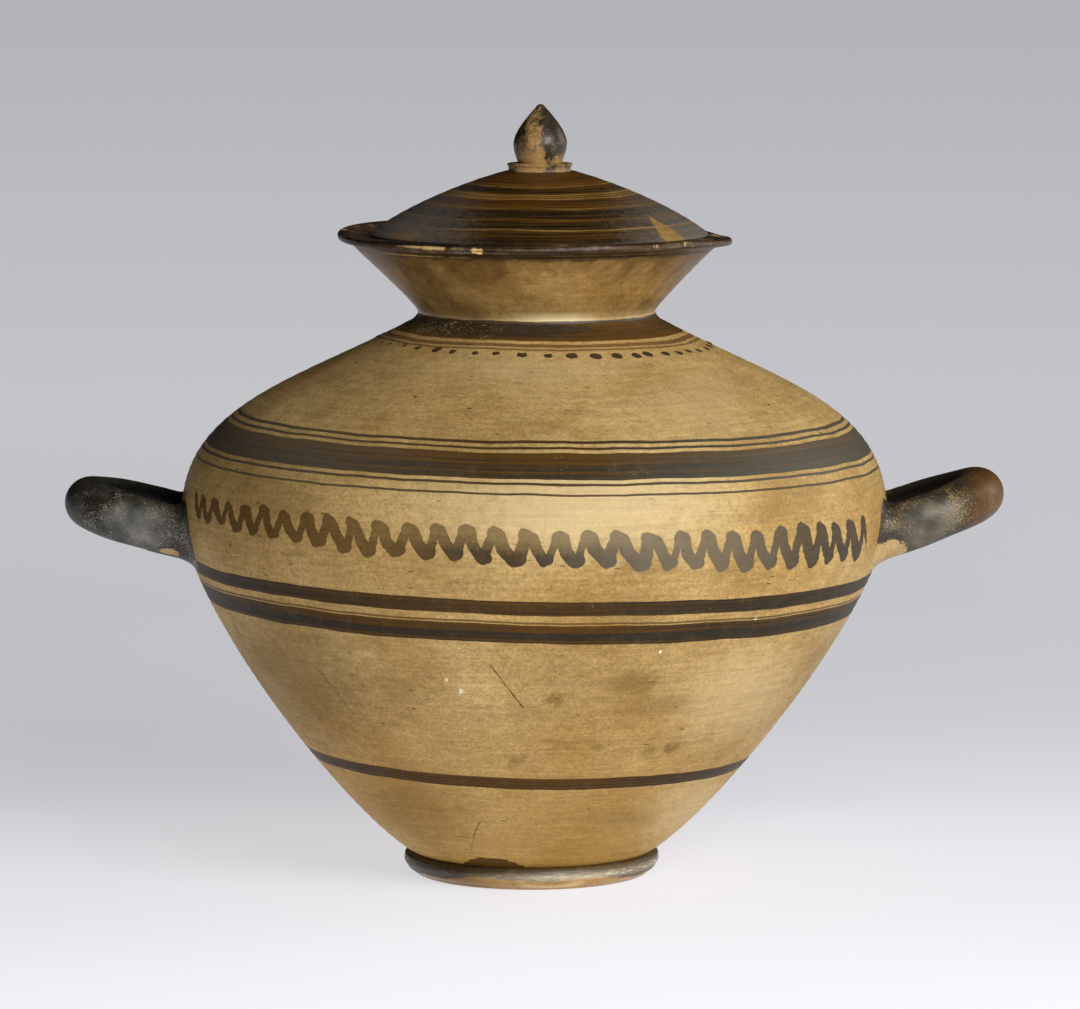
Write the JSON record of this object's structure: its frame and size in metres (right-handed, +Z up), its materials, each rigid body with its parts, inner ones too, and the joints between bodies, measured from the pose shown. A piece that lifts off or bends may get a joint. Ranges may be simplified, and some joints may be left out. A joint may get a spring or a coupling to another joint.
{
  "type": "lidded jar",
  "caption": "Round-bellied earthenware jar with ring foot, funnel neck, jutting lip and upswept loop handles, closed by a loose domed lid with a bud knob; slip-painted bands and a wave.",
  "frame": {"origin": "on the ground at the centre of the foot's resting face", "axes": "+Z up along the jar's turning axis, +X towards the right-hand handle, -Y towards the viewer in the picture"},
  "size_m": [0.4263, 0.32, 0.35],
  "materials": {
    "painted_clay": "matt buff clay with dark and brown slip bands, a wave and dots",
    "foot_slip": "worn dark slip over buff clay, bare at the ground",
    "rim_slip": "worn dark slip, satin",
    "handle_slip": "worn dark slip, satin, speckled buff",
    "lid_slip": "brown-black slip laid on in turning streaks, satin",
    "knob_slip": "worn dark slip with bare buff patches"
  },
  "bodies": {
    "jar": {"foot_ring": "foot_slip", "lower_bowl": "painted_clay", "shoulder": "painted_clay", "neck": "painted_clay", "rim_lip": "rim_slip", "left_handle": "handle_slip", "left_front_root": "handle_slip", "left_rear_root": "handle_slip", "right_handle": "handle_slip", "right_front_root": "handle_slip", "right_rear_root": "handle_slip"},
    "lid": {"lid_dome": "lid_slip", "knob_disc": "knob_slip", "knob": "knob_slip"}
  },
  "joints": [
    {"name": "lid_lift", "type": "slide", "parent": "jar", "child": "lid", "axis": [0, 0, 1], "range_m": [0, 0.12]}
  ]
}
